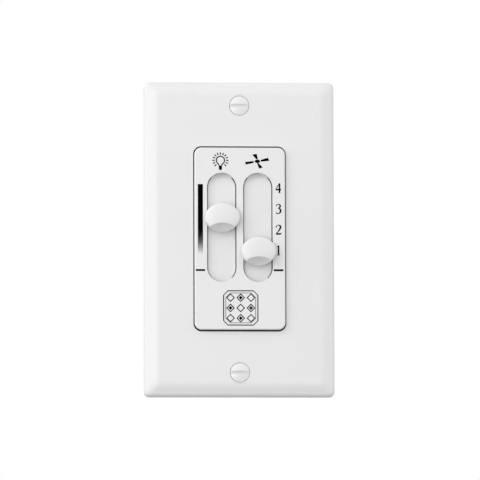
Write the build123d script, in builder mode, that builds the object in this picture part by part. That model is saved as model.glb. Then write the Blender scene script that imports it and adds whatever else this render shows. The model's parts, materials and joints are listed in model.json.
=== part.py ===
# A single-gang wall control: a light dimmer slider and a five-position fan speed slider
# behind one decorator wall plate. Millimetres. +X is right seen from the front, +Y points into
# the wall and +Z is up. The origin is on the wall's surface, at the middle of the wall plate.

from build123d import *
import math
import os

os.makedirs("parts", exist_ok=True)

# Wall plate
plate_width = 69.0
plate_height = 114.3
plate_depth = 5.6
plate_wall = 2.0
plate_corner = 1.9
bevel_width = 4.2
bevel_drop = 1.7
lip_round = 2.0
bevel_blend = 6.0
plate_pocket = 2.75

# Plate screws: oval heads, number 6
screw_pitch = 96.84
screw_head_radius = 3.45
screw_head_rise = 0.55
screw_core_radius = 1.68
screw_slot_width = 1.2
screw_slot_depth = 0.45
screw_tip = 9.0
screw_tip_radius = 1.2
screw_tip_length = 0.9
countersink_angle = 82.0
screw_clearance = 0.45
boss_radius = 4.4
boss_gap = 0.3

# Face frame: the moulded insert that fills the plate's opening
frame_width = 32.8
frame_height = 66.0
frame_corner = 2.5
frame_rise = 1.8
frame_front = 1.6
frame_wall = 1.5
frame_edge_round = 0.45
opening_gap_side = 0.4
opening_gap_end = 0.6
flange_reach = 1.8
flange_thick = 1.0
frame_rib = 1.2

# Troughs: one for each slider
trough_pitch = 13.1
trough_width = 10.7
trough_length = 39.7
trough_height = 4.04
trough_depth = 1.9
trough_dip = 1.1
trough_dip_length = 4.5
floor_skin = 0.6
trough_wall = 1.2
slit_width = 0.38
slit_end_angle = 45.0

# Sliders: place at rest, and travel
light_rest = 7.35
fan_rest = -4.85
fan_step = 7.6
fan_off_step = 7.05
fan_steps = 3
slider_low = fan_rest - fan_off_step
slider_high = fan_rest + fan_steps * fan_step
travel = slider_high - slider_low
travel_middle = (slider_high + slider_low) / 2

# Knobs
knob_width = 12.5
knob_height = 10.3
knob_side = 2.9
knob_dome = 1.1
knob_lift = 0.3
scoop_radius = 14.2
scoop_top = -2.0
scoop_foot = 0.6

# Saddles: thin spring-steel yokes that carry the knobs through the slits
saddle_thick = 0.2
saddle_play = 0.03
neck_length = 1.2
neck_offset = 1.0
tab_length = 3.6
leg_length = 5.0
tab_reach = 1.6
socket_play = 0.06
crossbar_drop = 0.5

# Mounting strap
strap_width = 43.0
strap_length = 105.4
strap_thick = 1.2
strap_off_wall = 0.2
strap_corner = 3.0
strap_play = 1.1
strap_tap_radius = 1.75
box_hole_pitch = 83.3
box_hole_radius = 2.2
ear_slot_width = 1.0
ear_slot_length = 9.0
ear_slot_in = 3.4
window_width = 5.6

# Housing
housing_width = 42.0
housing_height = 67.0
housing_depth = 29.0
housing_wall = 1.8
housing_corner = 3.5
housing_back_round = 2.2
housing_boss_radius = 3.1
housing_screw_x = 17.2
housing_screw_z = 29.6
housing_screw_radius = 1.4
housing_screw_play = 0.12
housing_head_radius = 2.6
housing_head_rise = 1.45
housing_counterbore = 1.8
housing_screw_start = 0.3
cross_length = 3.0
cross_width = 0.6
cross_depth = 0.9
hook_width = 6.0
hook_thick = 1.2
hook_lip = 0.6
hook_reach = 1.2
hook_z = 14.0
hook_play = 0.2
ledge_width = 1.6
ledge_reach = 2.4
ledge_z = 21.0

# Slide potentiometer and slide switch
pot_width = 9.4
pot_length = 43.0
pot_depth = 7.0
pot_sheet = 0.5
pot_gap = 0.3
track_thick = 1.2
carriage_length = 8.0
carriage_depth = 3.4
carriage_play = 0.25
lever_width = 2.0
lever_length = 3.6
lever_slot_play = 0.35
lever_tip = 0.3
lever_chamfer = 0.25
stud_tang = 1.2
stud_head = 2.4
stud_rise = 0.12
wiper_width = 3.0
wiper_thick = 0.3
finger_seat = (-3.4, -0.8)
finger_touch = (1.6, 2.4)
finger_tip = 3.4
finger_tip_rise = 0.6
switch_wall = 1.1
notch_rise = 0.35
nub_radius = 0.4
detent_thick = 0.25

# Circuit board and what it carries
board_thick = 1.6
board_width = 37.6
board_height = 62.0
board_corner = 1.0
board_notch_play = 0.5
lead_radius = 0.4
choke_radius = 7.0
choke_hub_radius = 3.0
choke_flange = 1.3
choke_height = 12.0
choke_place = (-8.0, -13.0)
winding_margin = 0.8
winding_play = 0.1
capacitor_chamfer = 0.5
speed_cap_size = (10.0, 24.0, 14.0)
speed_cap_places = ((-10.5, 13.0), (1.0, 13.0))
film_cap_size = (6.0, 13.0, 10.5)
film_cap_place = (9.5, -8.0)
resistor_radius = 1.5
resistor_length = 8.0
resistor_places = ((10.0, 9.0), (14.0, 9.0))
fuse_radius = 1.7
fuse_length = 9.0
fuse_place = (10.5, -22.5)
axial_lead_reach = 2.4

# Triac on the strap
triac_width = 10.0
triac_tab_length = 6.4
triac_body_length = 9.0
triac_tab_thick = 1.3
triac_body_thick = 4.4
triac_z = -25.6
triac_x = -1.5
triac_lead_width = 0.8
triac_lead_thick = 0.4
triac_lead_reach = 1.6
triac_lead_pitch = 2.54
rivet_radius = 1.5
rivet_head_radius = 2.9
rivet_head_rise = 0.9
rivet_back_radius = 2.3
rivet_chamfer = 0.3

# Terminals on the housing's sides
terminal_plate_height = 9.0
terminal_plate_depth = 8.4
terminal_plate_thick = 1.0
terminal_screw_radius = 1.7
terminal_head_radius = 3.5
terminal_head_rise = 2.0
terminal_head_chamfer = 0.5
terminal_slot_depth = 1.0
terminal_screw_length = 4.6
terminal_y = 15.0
terminal_barrier = 1.2
terminal_barrier_reach = 3.2
terminal_tang_width = 5.0
terminal_tang_reach = 3.6
terminal_hole_play = 0.3
terminal_places = ((1, 12.0), (1, -12.0), (-1, 0.0))
ground_place = (14.5, -38.5)
ground_head_radius = 3.8
ground_tip = 1.0

# How far a cutter runs past what it cuts
cut_over = 2.0

# Levels along Y, from front to back
frame_face = -plate_depth - frame_rise
frame_inside = frame_face + frame_front
floor_front = frame_face + trough_depth
floor_back = floor_front + trough_dip + floor_skin
crossbar_back = floor_back + crossbar_drop + saddle_thick
crossbar_front = crossbar_back - saddle_thick
knob_foot = frame_face - knob_lift
plate_inside = -plate_depth + plate_wall
strap_back = -strap_off_wall
strap_front = strap_back - strap_thick
housing_back = strap_back + housing_depth
pot_front = strap_back + pot_gap
pot_back = pot_front + pot_depth
board_front = pot_back + track_thick
board_back = board_front + board_thick

trough_radius = trough_width / 2
trough_centre_span = trough_length - trough_width
trough_x = trough_pitch / 2
opening_width = frame_width + 2 * opening_gap_side
opening_height = frame_height + 2 * opening_gap_end


def level(y):
    """A plane at depth y that faces the room, with its x to the right and its y upwards."""
    return Plane.XZ.offset(-y)


def rim_edges(solid, y):
    """The edges of a solid that lie in the plane at depth y."""
    return solid.edges().filter_by_position(Axis.Y, y - 0.001, y + 0.001)


def tray(width, length, z):
    """Two upright stadium outlines side by side, one for each slider."""
    with Locations((-trough_x, z), (trough_x, z)):
        SlotOverall(length, width, rotation=90)


def block(plane_y, depth, size, place, mode=Mode.ADD):
    """An upright rectangular block from plane_y backwards by depth."""
    with BuildSketch(level(plane_y)) as outline:
        with Locations(place):
            Rectangle(*size)
    extrude(outline.sketch, amount=-depth, mode=mode)


# Wall plate: a shell with a gently bevelled rim, a lip, an opening and two screw bosses
with BuildPart() as wall_plate:
    with BuildSketch(level(0)):
        RectangleRounded(plate_width, plate_height, plate_corner)
    extrude(amount=plate_depth - bevel_drop)
    with BuildSketch(level(bevel_drop - plate_depth)):
        RectangleRounded(plate_width, plate_height, plate_corner)
    with BuildSketch(level(-plate_depth)):
        RectangleRounded(plate_width - 2 * bevel_width, plate_height - 2 * bevel_width, plate_corner)
    loft(ruled=True)
    lip_y = bevel_drop - plate_depth
    fillet(rim_edges(wall_plate, lip_y), lip_round)
    fillet(rim_edges(wall_plate, -plate_depth), bevel_blend)
    with BuildSketch(level(0)):
        RectangleRounded(plate_width - 2 * plate_wall, plate_height - 2 * plate_wall, plate_corner / 2)
    extrude(amount=plate_pocket, mode=Mode.SUBTRACT)
    with BuildSketch(level(-plate_pocket)):
        RectangleRounded(plate_width - 2 * bevel_width - plate_wall,
                         plate_height - 2 * bevel_width - plate_wall, plate_corner / 2)
    extrude(amount=-plate_inside - plate_pocket, mode=Mode.SUBTRACT)
    with BuildSketch(level(plate_inside)):
        with GridLocations(0, screw_pitch, 1, 2):
            Circle(boss_radius)
    extrude(amount=plate_inside - strap_front + boss_gap)
    with BuildSketch(level(0)):
        RectangleRounded(opening_width, opening_height, frame_corner + opening_gap_side)
    extrude(amount=plate_depth, mode=Mode.SUBTRACT)
    with Locations(level(-plate_depth)):
        with GridLocations(0, screw_pitch, 1, 2):
            CounterSinkHole(screw_core_radius + screw_clearance,
                            screw_head_radius + screw_clearance / 2,
                            counter_sink_angle=countersink_angle)
wall_plate.part.label = "wall_plate"
export_step(wall_plate.part, "parts/wall_plate.step")

# Plate screws: slotted oval heads, with plain shanks
head_cone = (screw_head_radius - screw_core_radius) / math.tan(math.radians(countersink_angle / 2))
head_top = -plate_depth - screw_head_rise
head_ball = (screw_head_radius ** 2 + screw_head_rise ** 2) / (2 * screw_head_rise)
head_mid = head_top + head_ball - math.sqrt(head_ball ** 2 - (screw_head_radius / 2) ** 2)
with BuildPart() as oval_screw:
    with BuildSketch(Plane.YZ):
        with BuildLine():
            Polyline((screw_tip, 0), (screw_tip, screw_tip_radius),
                     (screw_tip - screw_tip_length, screw_core_radius),
                     (head_cone - plate_depth, screw_core_radius),
                     (-plate_depth, screw_head_radius))
            ThreePointArc((-plate_depth, screw_head_radius), (head_mid, screw_head_radius / 2),
                          (head_top, 0))
            Line((head_top, 0), (screw_tip, 0))
        make_face()
    revolve(axis=Axis.Y)
    with BuildSketch(level(head_top - cut_over)):
        Rectangle(2 * (screw_head_radius + cut_over), screw_slot_width)
    extrude(amount=-cut_over - screw_slot_depth, mode=Mode.SUBTRACT)
with BuildPart() as plate_screws:
    with Locations((0, 0, -screw_pitch / 2), (0, 0, screw_pitch / 2)):
        add(oval_screw.part)
plate_screws.part.label = "plate_screws"
export_step(plate_screws.part, "parts/plate_screws.step")

# The hollow of one trough: upright walls, and a floor that dips at both ends
with BuildPart() as trough:
    dip_radius = (trough_dip_length ** 2 + trough_dip ** 2) / (2 * trough_dip)
    floor_end = trough_length / 2
    floor_flat = floor_end - trough_dip_length
    dip_back = floor_front + trough_dip
    with BuildSketch(Plane.YZ.offset(-trough_width / 2)):
        with BuildLine():
            Polyline((dip_back, -floor_end), (frame_face, -floor_end), (frame_face, floor_end),
                     (dip_back, floor_end))
            RadiusArc((dip_back, floor_end), (floor_front, floor_flat), -dip_radius)
            Line((floor_front, floor_flat), (floor_front, -floor_flat))
            RadiusArc((floor_front, -floor_flat), (dip_back, -floor_end), -dip_radius)
        make_face()
    extrude(amount=trough_width)
    with BuildSketch(level(dip_back)):
        SlotOverall(trough_length, trough_width, rotation=90)
    extrude(amount=dip_back - frame_face, mode=Mode.INTERSECT)

# Face frame: front with two troughs, a flange behind the plate, ribs and snap hooks
with BuildPart() as face_frame:
    with BuildSketch(level(strap_front)):
        RectangleRounded(frame_width, frame_height, frame_corner)
    extrude(amount=strap_front - frame_face)
    fillet(rim_edges(face_frame, frame_face), frame_edge_round)
    with BuildSketch(level(plate_inside + boss_gap + flange_thick)):
        RectangleRounded(frame_width + 2 * flange_reach, frame_height + 2 * flange_reach,
                         frame_corner + flange_reach)
    extrude(amount=flange_thick)
    with BuildSketch(level(strap_front)):
        RectangleRounded(frame_width - 2 * frame_wall, frame_height - 2 * frame_wall,
                         frame_corner - frame_wall)
    extrude(amount=strap_front - frame_inside, mode=Mode.SUBTRACT)
    block(frame_inside, strap_front - frame_inside, (frame_rib, frame_height - frame_wall), (0, 0))
    with BuildSketch(level(frame_inside)):
        tray(trough_width + 2 * trough_wall, trough_length + 2 * trough_wall, trough_height)
    extrude(amount=frame_inside - floor_back)
    with Locations((-trough_x, 0, trough_height), (trough_x, 0, trough_height)):
        add(trough.part, mode=Mode.SUBTRACT)
    with BuildSketch(level(frame_face)):
        tray(trough_width, trough_length, trough_height)
        with Locations((-trough_x, trough_height), (trough_x, trough_height)):
            SlotOverall(trough_length - 2 * slit_width, trough_width - 2 * slit_width,
                        rotation=90, mode=Mode.SUBTRACT)
            wedge_rise = trough_width * math.tan(math.radians(slit_end_angle))
            for end in (-1, 1):
                apex = end * trough_centre_span / 2
                Polygon((0, apex), (trough_width, apex + end * wedge_rise),
                        (-trough_width, apex + end * wedge_rise), align=None, mode=Mode.SUBTRACT)
    extrude(amount=frame_face - floor_back, mode=Mode.SUBTRACT)
    for side in (-1, 1):
        hook_x = side * (frame_width / 2 - frame_wall + hook_thick / 2)
        lip_x = side * (frame_width / 2 - frame_wall + (hook_thick + hook_lip) / 2)
        for z in (-hook_z, hook_z):
            block(strap_front, strap_thick + hook_reach, (hook_thick, hook_width), (hook_x, z))
            block(strap_back + hook_play / 2, hook_reach - hook_play / 2,
                  (hook_thick + hook_lip, hook_width), (lip_x, z))
face_frame.part.label = "face_frame"
export_step(face_frame.part, "parts/face_frame.step")


def scoop_centre():
    """Centre of the thumb scoop's ball, as (z, y), from two points of its arc."""
    half = knob_height / 2
    top = (scoop_top, knob_side + knob_dome * math.sqrt(1 - (scoop_top / half) ** 2))
    low = (-half, scoop_foot)
    middle = ((top[0] + low[0]) / 2, (top[1] + low[1]) / 2)
    chord = math.dist(top, low)
    away = math.sqrt(scoop_radius ** 2 - (chord / 2) ** 2)
    across = ((low[1] - top[1]) / chord, (top[0] - low[0]) / chord)
    return middle[0] + away * across[0], knob_foot - middle[1] - away * across[1]


def make_knob(name, x, z):
    """An oval domed knob with a thumb scoop below and two sockets for its saddle."""
    with BuildPart() as knob:
        with BuildSketch(level(knob_foot)):
            with Locations((x, z)):
                Ellipse(knob_width / 2, knob_height / 2)
        extrude(amount=knob_side)
        half_ball = Sphere(1, arc_size1=0, rotation=(90, 0, 0),
                           align=(Align.CENTER, Align.CENTER, Align.MIN), mode=Mode.PRIVATE)
        dome = scale(half_ball, by=(knob_width / 2, knob_dome, knob_height / 2), mode=Mode.PRIVATE)
        with Locations((x, knob_foot - knob_side, z)):
            add(dome)
        scoop_z, scoop_y = scoop_centre()
        with Locations((x, scoop_y, z + scoop_z)):
            Sphere(scoop_radius, mode=Mode.SUBTRACT)
        socket_x = trough_radius - slit_width + saddle_play + saddle_thick / 2
        for side in (-1, 1):
            block(knob_foot, -tab_reach - socket_play, (saddle_thick + 2 * socket_play,
                  tab_length + 2 * socket_play), (x + side * socket_x, z), Mode.SUBTRACT)
    knob.part.label = name
    export_step(knob.part, f"parts/{name}.step")


make_knob("light_knob", -trough_x, light_rest)
make_knob("fan_knob", trough_x, fan_rest)


def make_saddle(name, x, z):
    """A folded yoke: a cross bar behind the trough, and two legs with narrow necks."""
    with BuildPart() as saddle:
        leg_x = trough_radius - slit_width + saddle_play
        for side in (-1, 1):
            with BuildSketch(Plane.YZ.offset(x + side * leg_x)):
                neck_low = z + neck_offset - neck_length / 2
                neck_high = z + neck_offset + neck_length / 2
                with BuildLine():
                    Polyline((crossbar_back, z - leg_length / 2),
                             (floor_back + saddle_play, z - leg_length / 2),
                             (floor_back + saddle_play, neck_low),
                             (frame_face - saddle_play, neck_low),
                             (frame_face - saddle_play, z - tab_length / 2),
                             (knob_foot - tab_reach, z - tab_length / 2),
                             (knob_foot - tab_reach, z + tab_length / 2),
                             (frame_face - saddle_play, z + tab_length / 2),
                             (frame_face - saddle_play, neck_high),
                             (floor_back + saddle_play, neck_high),
                             (floor_back + saddle_play, z + leg_length / 2),
                             (crossbar_back, z + leg_length / 2),
                             close=True)
                make_face()
            extrude(amount=side * saddle_thick)
        block(crossbar_front, saddle_thick, (2 * leg_x, leg_length), (x, z))
        block(crossbar_front, saddle_thick, (lever_width + 2 * socket_play,
              lever_length + 2 * socket_play), (x, z), Mode.SUBTRACT)
    saddle.part.label = name
    export_step(saddle.part, f"parts/{name}.step")


make_saddle("light_saddle", -trough_x, light_rest)
make_saddle("fan_saddle", trough_x, fan_rest)

# Mounting strap: flat steel with tapped ends, box-screw holes, windows and break-off ears
window_length = travel + lever_length + 2 * strap_play
with BuildPart() as mounting_strap:
    with BuildSketch(level(strap_back)):
        RectangleRounded(strap_width, strap_length, strap_corner)
        with GridLocations(0, screw_pitch, 1, 2):
            Circle(strap_tap_radius, mode=Mode.SUBTRACT)
        with GridLocations(0, box_hole_pitch, 1, 2):
            Circle(box_hole_radius, mode=Mode.SUBTRACT)
        with Locations((-trough_x, travel_middle), (trough_x, travel_middle)):
            SlotOverall(window_length, window_width, rotation=90, mode=Mode.SUBTRACT)
        with GridLocations(strap_width - 2 * ear_slot_in - ear_slot_length,
                           box_hole_pitch + 2 * ear_slot_in, 2, 2):
            Rectangle(ear_slot_length, ear_slot_width, mode=Mode.SUBTRACT)
        with GridLocations(2 * housing_screw_x, 2 * housing_screw_z, 2, 2):
            Circle(housing_screw_radius + housing_screw_play, mode=Mode.SUBTRACT)
        with GridLocations(frame_width - 2 * frame_wall + hook_thick + hook_lip, 2 * hook_z, 2, 2):
            Rectangle(hook_thick + hook_lip + hook_play, hook_width + hook_play, mode=Mode.SUBTRACT)
        with Locations((triac_x - triac_tab_length / 2, triac_z)):
            Circle(rivet_radius, mode=Mode.SUBTRACT)
        with Locations(ground_place):
            Circle(terminal_screw_radius + housing_screw_play, mode=Mode.SUBTRACT)
    extrude(amount=strap_thick)
mounting_strap.part.label = "mounting_strap"
export_step(mounting_strap.part, "parts/mounting_strap.step")

# Housing: the moulded back case, with corner bosses, board ledges and terminal barriers
inner_width = housing_width - 2 * housing_wall
inner_height = housing_height - 2 * housing_wall
tang_y = board_front - terminal_plate_thick
with BuildPart() as housing:
    with BuildSketch(level(strap_back)):
        RectangleRounded(housing_width, housing_height, housing_corner)
    extrude(amount=-housing_depth)
    fillet(rim_edges(housing, housing_back), housing_back_round)
    with BuildSketch(level(strap_back)):
        RectangleRounded(inner_width, inner_height, housing_corner - housing_wall)
    extrude(amount=housing_wall - housing_depth, mode=Mode.SUBTRACT)
    with BuildSketch(level(strap_back)):
        with GridLocations(2 * housing_screw_x, 2 * housing_screw_z, 2, 2):
            Circle(housing_boss_radius)
    extrude(amount=housing_wall - housing_depth)
    with BuildSketch(level(board_back)):
        with GridLocations(inner_width - ledge_reach, 2 * ledge_z, 2, 2):
            Rectangle(ledge_reach, ledge_width)
    extrude(amount=board_back - housing_back + housing_wall)
    for side, z in terminal_places:
        tang_x = side * (housing_width - housing_wall) / 2
        block(tang_y, terminal_plate_thick, (housing_wall + cut_over, terminal_tang_width),
              (tang_x, z), Mode.SUBTRACT)
        with Locations((tang_x, terminal_y, z)):
            Cylinder(terminal_screw_radius + terminal_hole_play, housing_wall + cut_over,
                     rotation=(0, 90, 0), mode=Mode.SUBTRACT)
        barrier_x = side * (housing_width + terminal_barrier_reach) / 2
        barrier_z = (terminal_plate_height + terminal_barrier) / 2 + terminal_hole_play
        for end in (-1, 1):
            block(strap_back + housing_wall, terminal_y + terminal_plate_depth / 2,
                  (terminal_barrier_reach, terminal_barrier), (barrier_x, z + end * barrier_z))
    with Locations(Plane((0, housing_back, 0), x_dir=(1, 0, 0), z_dir=(0, 1, 0))):
        with GridLocations(2 * housing_screw_x, 2 * housing_screw_z, 2, 2):
            CounterBoreHole(housing_screw_radius + housing_screw_play,
                            housing_head_radius + housing_screw_play, housing_counterbore)
housing.part.label = "housing"
export_step(housing.part, "parts/housing.step")

# Housing screws: four pan heads from the back, into the strap
head_seat = housing_back - housing_counterbore
screw_start = strap_front + housing_screw_start
with BuildPart() as housing_screws:
    with BuildSketch(level(screw_start)):
        with GridLocations(2 * housing_screw_x, 2 * housing_screw_z, 2, 2):
            Circle(housing_screw_radius)
    extrude(amount=screw_start - head_seat)
    with BuildSketch(level(head_seat)):
        with GridLocations(2 * housing_screw_x, 2 * housing_screw_z, 2, 2):
            Circle(housing_head_radius)
    extrude(amount=-housing_head_rise)
    head_back = head_seat + housing_head_rise
    with BuildSketch(level(head_back)):
        with GridLocations(2 * housing_screw_x, 2 * housing_screw_z, 2, 2):
            Rectangle(cross_length, cross_width)
            Rectangle(cross_width, cross_length)
    extrude(amount=cross_depth, mode=Mode.SUBTRACT)
housing_screws.part.label = "housing_screws"
export_step(housing_screws.part, "parts/housing_screws.step")

# Circuit board, notched round the housing's bosses
with BuildPart() as circuit_board:
    with BuildSketch(level(board_front)):
        RectangleRounded(board_width, board_height, board_corner)
        with GridLocations(2 * housing_screw_x, 2 * housing_screw_z, 2, 2):
            Circle(housing_boss_radius + board_notch_play, mode=Mode.SUBTRACT)
    extrude(amount=-board_thick)
circuit_board.part.label = "circuit_board"
export_step(circuit_board.part, "parts/circuit_board.step")

# Light potentiometer: a folded steel cover over a resistive track, a carriage and a wiper
slot_width = lever_width + 2 * lever_slot_play
slot_length = travel + lever_length + 2 * lever_slot_play
case_depth = board_front - pot_front


def make_case(name, x, wall, corner):
    """A cover open at the back, with a slot for the lever."""
    with BuildPart() as case:
        with BuildSketch(level(pot_front)):
            with Locations((x, travel_middle)):
                RectangleRounded(pot_width, pot_length, corner)
        extrude(amount=-case_depth)
        block(pot_front + wall, case_depth - wall, (pot_width - 2 * wall, pot_length - 2 * wall),
              (x, travel_middle), Mode.SUBTRACT)
        block(pot_front, wall, (slot_width, slot_length), (x, travel_middle), Mode.SUBTRACT)
    case.part.label = name
    export_step(case.part, f"parts/{name}.step")


def make_carriage(name, x, z, width, shift, nub):
    """The sliding carriage with its lever, and on the switch a round nub for the detent spring."""
    with BuildPart() as carriage:
        top = pot_front + switch_wall + carriage_play
        block(top, carriage_depth, (width, carriage_length), (x + shift, z))
        block(floor_back + lever_tip, top - floor_back - lever_tip, (lever_width, lever_length), (x, z))
        tip = floor_back + lever_tip
        chamfer(rim_edges(carriage, tip), lever_chamfer)
        if nub:
            with BuildSketch(level(top + carriage_play)):
                with Locations((x + shift + width / 2, z)):
                    Circle(nub)
            extrude(amount=2 * carriage_play - carriage_depth)
    carriage.part.label = name
    export_step(carriage.part, f"parts/{name}.step")


def make_spring_finger(name, x, z):
    """A bowed spring finger under a carriage, just clear of the track."""
    with BuildPart() as finger:
        seat_y = pot_front + switch_wall + carriage_play + carriage_depth + wiper_thick / 2
        touch_y = pot_back - stud_rise - wiper_thick / 2 - saddle_play
        with BuildSketch(Plane.YZ.offset(x)):
            with BuildLine():
                Polyline((seat_y, z + finger_seat[0]), (seat_y, z + finger_seat[1]),
                         (touch_y, z + finger_touch[0]), (touch_y, z + finger_touch[1]),
                         (touch_y - finger_tip_rise, z + finger_tip))
            trace(line_width=wiper_thick)
        extrude(amount=wiper_width / 2, both=True)
    finger.part.label = name
    export_step(finger.part, f"parts/{name}.step")


make_case("light_pot_case", -trough_x, pot_sheet, pot_sheet)
light_inner = pot_width - 2 * pot_sheet
make_carriage("light_pot_slider", -trough_x, light_rest, light_inner - 2 * carriage_play, 0, 0)
make_spring_finger("light_pot_wiper", -trough_x, light_rest)
with BuildPart() as light_pot_track:
    block(pot_back, track_thick, (light_inner - 2 * socket_play, pot_length - 2 * pot_sheet
          - 2 * socket_play), (-trough_x, travel_middle))
light_pot_track.part.label = "light_pot_track"
export_step(light_pot_track.part, "parts/light_pot_track.step")

# Fan switch: a moulded case, a board with five contact studs, a carriage and a detent spring
fan_inner = pot_width - 2 * switch_wall
detent_places = [slider_low] + [fan_rest + step * fan_step for step in range(fan_steps + 1)]
spring_x = trough_x + fan_inner / 2 - detent_thick / 2 - saddle_play
crest_x = spring_x - notch_rise
carriage_right = crest_x - detent_thick / 2 - 2 * carriage_play
carriage_left = trough_x - fan_inner / 2 + carriage_play
carriage_width = carriage_right - carriage_left
carriage_shift = (carriage_right + carriage_left) / 2 - trough_x
make_case("fan_switch_case", trough_x, switch_wall, switch_wall)
make_carriage("fan_switch_slider", trough_x, fan_rest, carriage_width, carriage_shift,
              nub_radius)
make_spring_finger("fan_switch_contact", trough_x, fan_rest)
with BuildPart() as fan_detent_spring:
    wave = [(crest_x, detent_places[0] - fan_step / 4)]
    for place, following in zip(detent_places, detent_places[1:] + [detent_places[-1] + fan_step / 2]):
        wave += [(spring_x, place), (crest_x, (place + following) / 2)]
    with BuildSketch(level(pot_front + switch_wall + carriage_play)):
        with BuildLine():
            Polyline(*wave)
        trace(line_width=detent_thick)
    extrude(amount=-carriage_depth)
fan_detent_spring.part.label = "fan_detent_spring"
export_step(fan_detent_spring.part, "parts/fan_detent_spring.step")
with BuildPart() as fan_switch_board:
    block(pot_back, track_thick, (fan_inner - 2 * socket_play, pot_length - 2 * switch_wall
          - 2 * socket_play), (trough_x, travel_middle))
    with BuildSketch(level(pot_back)):
        with Locations([(trough_x, place) for place in detent_places]):
            Rectangle(stud_tang + 2 * saddle_play, stud_tang + 2 * saddle_play)
    extrude(amount=-track_thick, mode=Mode.SUBTRACT)
fan_switch_board.part.label = "fan_switch_board"
export_step(fan_switch_board.part, "parts/fan_switch_board.step")
with BuildPart() as fan_switch_studs:
    with BuildSketch(level(board_front)):
        with Locations([(trough_x, place) for place in detent_places]):
            Rectangle(stud_tang, stud_tang)
    extrude(amount=track_thick)
    with BuildSketch(level(pot_back)):
        with Locations([(trough_x, place) for place in detent_places]):
            Rectangle(stud_head, stud_head)
    extrude(amount=stud_rise)
fan_switch_studs.part.label = "fan_switch_studs"
export_step(fan_switch_studs.part, "parts/fan_switch_studs.step")

# Filter choke: a ferrite drum with a flange at each end, wound with enamelled wire
with BuildPart() as filter_choke_core:
    with BuildSketch(level(board_back)):
        with Locations(choke_place):
            Circle(choke_radius)
    extrude(amount=-choke_flange)
    with BuildSketch(level(board_back + choke_flange)):
        with Locations(choke_place):
            Circle(choke_hub_radius)
    extrude(amount=2 * choke_flange - choke_height)
    with BuildSketch(level(board_back + choke_height - choke_flange)):
        with Locations(choke_place):
            Circle(choke_radius)
    extrude(amount=-choke_flange)
filter_choke_core.part.label = "filter_choke_core"
export_step(filter_choke_core.part, "parts/filter_choke_core.step")
with BuildPart() as filter_choke_winding:
    with BuildSketch(level(board_back + choke_flange)):
        with Locations(choke_place):
            Circle(choke_radius - winding_margin)
            Circle(choke_hub_radius + winding_play, mode=Mode.SUBTRACT)
    extrude(amount=2 * choke_flange - choke_height)
filter_choke_winding.part.label = "filter_choke_winding"
export_step(filter_choke_winding.part, "parts/filter_choke_winding.step")


def make_box_capacitors(name, size, places):
    """Box film capacitors standing on the board, with a chamfered top."""
    with BuildPart() as capacitors:
        with BuildSketch(level(board_back)):
            with Locations(*places):
                Rectangle(size[0], size[1])
        extrude(amount=-size[2])
        far = board_back + size[2]
        chamfer(rim_edges(capacitors, far), capacitor_chamfer)
    capacitors.part.label = name
    export_step(capacitors.part, f"parts/{name}.step")


def make_axial_parts(name, radius, length, places):
    """Axial components lying on the board along Z, each with two bent leads."""
    with BuildPart() as axial:
        height = board_back + radius + lead_radius
        with BuildSketch(Plane((0, 0, -length / 2), z_dir=(0, 0, 1))):
            with Locations(*[(x, height) for x, z in places]):
                Circle(radius)
        extrude(amount=length)
        for x, z in places:
            reach = length / 2 + axial_lead_reach
            with BuildLine(Plane.YZ.offset(x)):
                Polyline((board_back, -reach), (height, -reach), (height, reach), (board_back, reach))
            with BuildSketch(Plane((x, board_back, -reach), x_dir=(1, 0, 0), z_dir=(0, 1, 0))):
                Circle(lead_radius)
            sweep(transition=Transition.RIGHT)
    lifted = axial.part.moved(Location((0, 0, places[0][1])))
    lifted.label = name
    export_step(lifted, f"parts/{name}.step")


make_box_capacitors("speed_capacitors", speed_cap_size, speed_cap_places)
make_box_capacitors("film_capacitor", film_cap_size, (film_cap_place,))
make_axial_parts("resistors", resistor_radius, resistor_length, resistor_places)
make_axial_parts("thermal_fuse", fuse_radius, fuse_length, (fuse_place,))

# Triac: its metal tab flat on the back of the strap, its leads bent down to the board
with BuildPart() as triac:
    tab_left = triac_x - triac_tab_length
    body_right = triac_x + triac_body_length
    block(strap_back, triac_tab_thick, (triac_tab_length + triac_body_length / 2, triac_width),
          ((tab_left + triac_x + triac_body_length / 2) / 2, triac_z))
    with BuildSketch(level(strap_back)):
        with Locations((triac_x - triac_tab_length / 2, triac_z)):
            Circle(rivet_radius + saddle_play)
    extrude(amount=-triac_tab_thick, mode=Mode.SUBTRACT)
    block(strap_back, triac_body_thick, (triac_body_length, triac_width),
          (triac_x + triac_body_length / 2, triac_z))
    lead_y = strap_back + triac_body_thick / 2
    for pin in (-1, 0, 1):
        lead_z = triac_z + pin * triac_lead_pitch
        block(lead_y, triac_lead_thick, (triac_lead_reach, triac_lead_width),
              (body_right + triac_lead_reach / 2, lead_z))
        block(lead_y, board_front - lead_y, (triac_lead_thick, triac_lead_width),
              (body_right + triac_lead_reach, lead_z))
triac.part.label = "triac"
export_step(triac.part, "parts/triac.step")
with BuildPart() as triac_rivet:
    rivet_place = (triac_x - triac_tab_length / 2, triac_z)
    rivet_front = strap_front - rivet_head_rise
    rivet_back = strap_back + triac_tab_thick + rivet_head_rise
    rivet_levels = ((strap_front, rivet_head_radius, rivet_front),
                    (rivet_back, rivet_back_radius, rivet_back))
    for y, radius, crown in rivet_levels:
        with BuildSketch(level(y)):
            with Locations(rivet_place):
                Circle(radius)
        extrude(amount=rivet_head_rise)
        chamfer(rim_edges(triac_rivet, crown), rivet_chamfer)
    with BuildSketch(level(strap_back + triac_tab_thick)):
        with Locations(rivet_place):
            Circle(rivet_radius)
    extrude(amount=strap_thick + triac_tab_thick)
triac_rivet.part.label = "triac_rivet"
export_step(triac_rivet.part, "parts/triac_rivet.step")

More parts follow.
